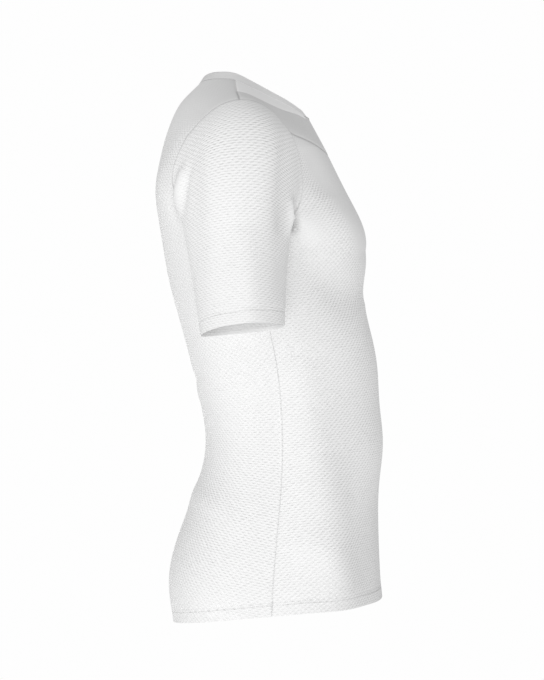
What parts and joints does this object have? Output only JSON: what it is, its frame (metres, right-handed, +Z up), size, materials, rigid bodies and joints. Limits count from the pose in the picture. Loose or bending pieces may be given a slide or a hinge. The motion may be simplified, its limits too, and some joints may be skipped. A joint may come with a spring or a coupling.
{
  "type": "short-sleeve base layer",
  "caption": "Close-fitting short-sleeve knit top in its worn, hollow form, with a narrow neckband, a front chest yoke and a hem that drops at the back.",
  "frame": {"origin": "on the mid-plane, level with the neck ends of the shoulder seams, where the wearer's shoulders carry the garment", "axes": "+Z up, the chest faces -Y, +X is the wearer's left"},
  "size_m": [0.5678, 0.2841, 0.6843],
  "materials": {
    "jersey": "matt white textured knit",
    "yoke_jersey": "matt off-white fine knit",
    "band_jersey": "matt white fine knit"
  },
  "bodies": {
    "root": {"back_body": "jersey", "front_body": "jersey", "front_yoke": "yoke_jersey", "neck_panel_left": "jersey", "neck_panel_right": "jersey", "neckband": "band_jersey", "sleeve_left": "jersey", "sleeve_right": "jersey"}
  },
  "joints": []
}
